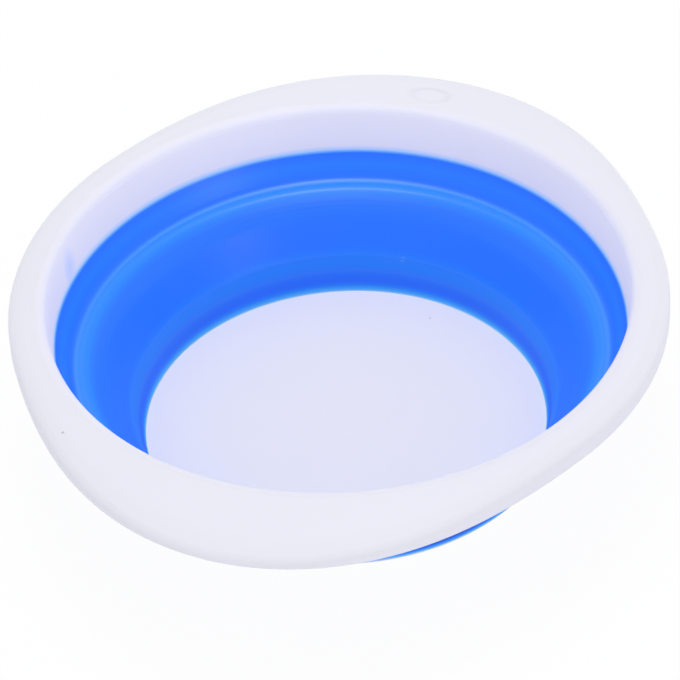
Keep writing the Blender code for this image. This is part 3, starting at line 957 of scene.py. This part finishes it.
# %% [markdown]
# ## The soft wall
# On the real basin the wall is one moulding from the rim to the floor, so it is one piece here too,
# although the solids divide it at its hinges. Its section follows the inner face from the seam down
# to the floor. A soft bead closes under the edge of the floor, and from there the section comes
# back up the outer face to the collar, which grips the rim's tongue. The values thin_and_glow,
# painted_highlight and shaded tell the material how pale each place is: palest at the seam, at the
# hinges and beside the floor. Part of this is the plastic's own colour where it is thin, and part
# is painted glow, painted highlight and painted shade.

# %% Section of the soft wall
STEP_RADIUS = 0.1322
STEP_HEIGHT = 0.0508
ROLL_START_RADIUS = 0.1260
PANEL_TOP = (0.1166, 0.0441)
LOWER_FOLD = (0.1049, 0.0235)
LOWER_LINE = (0.1025, 0.0155)
FOOT_BEND = (0.1009, 0.0096)
FACE_SPACING = 0.0005
SEAM_GAP = 0.00004  # keeps the mouldings apart

inner_corners = [
    (SEAM_RADIUS, SEAM_HEIGHT - SEAM_GAP, 0),
    (STEP_RADIUS, STEP_HEIGHT, 0.0078),
    (ROLL_START_RADIUS, STEP_HEIGHT, 0.0054),
    (*PANEL_TOP, 0.0230),
    (*LOWER_FOLD, 0.0060),
    (*LOWER_LINE, 0.0040),
    (*FOOT_BEND, 0.0060),
    (FLOOR_RADIUS, floor_height, 0),
]
inner_face = spaced(rounded(inner_corners), FACE_SPACING)
stations = [0.0]
for near, far in zip(inner_face, inner_face[1:]):
    stations.append(stations[-1] + (far - near).length)
print(f"the inner face is {stations[-1]:.4f} m long and has {len(inner_face)} points")

# %% Where the corners lie along the inner face


def station_near(corner):
    """How far along the inner face, from the seam, the point nearest to a corner lies."""
    nearest = min(range(len(inner_face)), key=lambda k: (inner_face[k] - Vector(corner[:2])).length)
    return stations[nearest]


step_corner, roll_start, roll, lower_fold, lower_line, foot_bend = [
    station_near(corner) for corner in inner_corners[1:-1]]
face_end = stations[-1]
print("corners at", ", ".join(f"{at:.4f}" for at in (step_corner, roll_start, roll, lower_fold,
                                                      lower_line, foot_bend)), "m from the seam")

# %% Thinness and painted glow along the inner face: distance from the seam, thinness and glow
THIN_AND_GLOW_ALONG = [
    # The upper band.
    (0.0, 0.93), (0.0004, 0.80), (0.0008, 0.45), (0.0012, 0.12), (0.0017, 0.0), (0.0030, 0.0),
    (0.0045, 0.05), (0.0070, 0.11), (step_corner - 0.0030, 0.06), (step_corner - 0.0010, 0.01),
    # The step, with a hinge in its corner.
    (step_corner, 0.06), (step_corner + 0.0010, 0.22), (step_corner + 0.0018, 0.26),
    (step_corner + 0.0026, 0.22), (step_corner + 0.0045, 0.25), (roll_start, 0.18),
    # The folding panel.
    (roll_start + 0.0020, 0.20), (roll_start + 0.0036, 0.10), (roll_start + 0.0070, 0.02),
    (roll_start + 0.0110, 0.05), (lower_fold - 0.0045, 0.09),
    # The lower band, from its hinge to the floor.
    (lower_fold + 0.0005, 0.23), (lower_fold + 0.0030, 0.26), (lower_line - 0.0020, 0.24),
    (lower_line + 0.0020, 0.11), (foot_bend - 0.0020, 0.045), (foot_bend, 0.045),
    (face_end - 0.0040, 0.17), (face_end - 0.0028, 0.40), (face_end - 0.0017, 0.67),
    (face_end - 0.0006, 0.86), (face_end, 0.97),
]
print("thinness is given at", len(THIN_AND_GLOW_ALONG), "places")

# %% Painted highlights: distance from the seam, half width, strength
PAINTED_HIGHLIGHTS = [
    (0.0003, 0.0012, 0.40), (step_corner + 0.0016, 0.0016, 0.09),
    (step_corner + 0.0040, 0.0016, 0.04), (lower_fold, 0.0012, 0.05), (lower_line, 0.0018, 0.05),
]


def painted_highlight_at(station):
    """Painted highlight along the seam and along the lines where the wall bends."""
    return sum(most * max(0.0, 1 - abs(station - at) / width) for at, width, most in PAINTED_HIGHLIGHTS)


# The strongest painted highlight along the inner face.
print("most whitening along the inner face:", round(max(map(painted_highlight_at, stations)), 3))

# %% The same values up the outer face: height, value
# Near the foot the outer face is pale from painted glow; higher up it follows its thickness.
OUTER_THIN_AND_GLOW = [
    (0.0, 1.0), (0.0075, 1.0), (0.0081, 0.85), (0.0088, 0.5), (0.0096, 0.15), (0.0106, 0.0),
    (0.0200, 0.08), (0.1, 0.08),
]
# Painted glow at the foot of the outer face.
OUTER_PAINTED_GLOW = [(0.0, 0.10), (0.0078, 0.10), (0.0095, 0.0), (0.1, 0.0)]
OUTER_SHADE = [
    (0.0, 0.0), (0.0093, 0.0), (0.0111, 1.0), (0.0160, 1.0), (0.0200, 0.0), (0.1, 0.0),
]


def read_off(knots, place):
    """The value at a place, read from a list of places and values by straight steps."""
    for (near, near_value), (far, far_value) in zip(knots, knots[1:]):
        if place <= far:
            return near_value + (far_value - near_value) * (place - near) / (far - near)
    return knots[-1][1]


print("the outer face has its thinness given at", len(OUTER_THIN_AND_GLOW), "heights")

# %% The outer face
WALL = 0.0020
OUTER_START = 0.0069  # the collar stands opposite the inner face up to here
OUTER_END = LOWER_FOLD[1] - 0.0010  # below this height a straight line leads to the bead


def outer_point(k):
    """The outer face opposite a point of the inner face."""
    before = inner_face[max(k - 1, 0)]
    after = inner_face[min(k + 1, len(inner_face) - 1)]
    heading = (after - before).normalized()
    return inner_face[k] + Vector((-heading.y, heading.x)) * WALL


outer_face = [outer_point(k) for k in range(len(inner_face)) if stations[k] > OUTER_START]
outer_face = [p for p in outer_face if p.y > OUTER_END]
print("the outer face has", len(outer_face), "points")

# %% The collar around the rim's tongue, and the bead at the foot
COLLAR_RADIUS = upper_high.x
COLLAR_TOP = upper_high.z
CLEARANCE = 0.0003
COLLAR_REACH = 0.0013  # how far it comes in under the tongue
COLLAR_FOOT = 0.0015  # how far its outside reaches below the tongue
FLANGE_HEIGHT = 0.0025
BEAD_CENTRE = (0.1025, 0.0090)
BEAD = 0.0040
BEAD_START = math.radians(-100)
BEAD_END = math.radians(10)
BEAD_STEPS = 14
FOOT_SPACING = 0.002

groove = SEAM_RADIUS + RIM_WALL
collar = [Vector(point) for point in (
    (groove - COLLAR_REACH, SEAM_HEIGHT - CLEARANCE),
    (groove - COLLAR_REACH, rim_low.z - CLEARANCE),
    (groove + CLEARANCE, rim_low.z - CLEARANCE),
    (groove + CLEARANCE, COLLAR_TOP),
    (COLLAR_RADIUS, COLLAR_TOP),
    (COLLAR_RADIUS, rim_low.z - COLLAR_FOOT),
)]
bead = arc(BEAD_CENTRE, BEAD, BEAD_START, BEAD_END, BEAD_STEPS)
foot = [Vector((FLOOR_RADIUS, FLANGE_HEIGHT + CLEARANCE))] + [Vector(point) for point in bead]
foot += spaced([bead[-1], outer_face[-1]], FOOT_SPACING)[1:-1]
wall_section = inner_face + foot + outer_face[::-1] + collar[::-1]
print("the wall's section has", len(wall_section), "points")

# %% Turn the wall's section, and give each point its values
outer_heights = [point.y for point in wall_section[len(stations):]]
thin_and_glow = [read_off(THIN_AND_GLOW_ALONG, station) for station in stations]
thin_and_glow += [read_off(OUTER_THIN_AND_GLOW, height) for height in outer_heights]
painted_highlight = [painted_highlight_at(station) for station in stations]
painted_highlight += [read_off(OUTER_PAINTED_GLOW, height) for height in outer_heights]
shaded = [0.0] * len(stations) + [read_off(OUTER_SHADE, height) for height in outer_heights]
wall_values = {"thin_and_glow": thin_and_glow, "painted_highlight": painted_highlight, "shaded": shaded}
soft_wall = turned_piece("soft_wall", wall_section, even_angles, wall_values)
soft_wall.data.set_sharp_from_angle(angle=SHARP_FROM)
soft_wall.data.materials.append(blue_wall)
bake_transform(soft_wall)
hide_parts("upper_band", "step_ring", "folding_panel", "lower_band")

# %% [markdown]
# ## The floor
# The floor is a plain disc with a foot ring underneath. It is turned like the wall, but its section
# starts and ends on the axis. The bead of the wall closes around its edge, so the foot ring stands
# a little further in, and a hair-thin gap keeps the two mouldings apart. A small round recess in
# the middle of the underside is what the gate of the mould leaves.

# %% Section of the floor
PLATE = 0.0024
FOOT_INSET = 0.0030
FOOT_RING = 0.0052
CHAMFER = 0.0005
GATE_RADIUS = 0.0050
GATE_DEPTH = 0.0006
FIRST_RING = 0.01  # radius of the first ring of points around the axis
TOP_SPACING = 0.008

underside = floor_height - PLATE
plate_edge = FLOOR_RADIUS - SEAM_GAP
foot_outer = foot_radius - FOOT_INSET
ring_inner = foot_outer - FOOT_RING
top = spaced([(FIRST_RING, floor_height), (plate_edge, floor_height)], TOP_SPACING)
plate_section = [
    (0, floor_height),
    *[(p.x, p.y) for p in top],
    (plate_edge, FLANGE_HEIGHT),
    (foot_outer, FLANGE_HEIGHT),
    (foot_outer, CHAMFER),
    (foot_outer - CHAMFER, 0),
    (ring_inner, 0),
    (ring_inner - CHAMFER, underside),
    (GATE_RADIUS, underside),
    (GATE_RADIUS - CHAMFER, underside + GATE_DEPTH),
    (0, underside + GATE_DEPTH),
]
print("the floor's section has", len(plate_section), "points")

# %% Turn the floor, and give it its place in the frame
FLOOR_SHARP_FROM = math.radians(30)

floor_disc = turned_piece("floor_disc", plate_section, even_angles, on_axis=True)
floor_disc.data.set_sharp_from_angle(angle=FLOOR_SHARP_FROM)
floor_disc.data.materials.append(floor_plastic)
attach(floor_disc, "base")
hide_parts("floor_plate")

# %% [markdown]
# ## The finished model
# The last step measures the finished model, which has to be the same size as the solids.

# %% Size of the finished model
low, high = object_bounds()
print("finished model reaches from", tuple(low), "to", tuple(high))
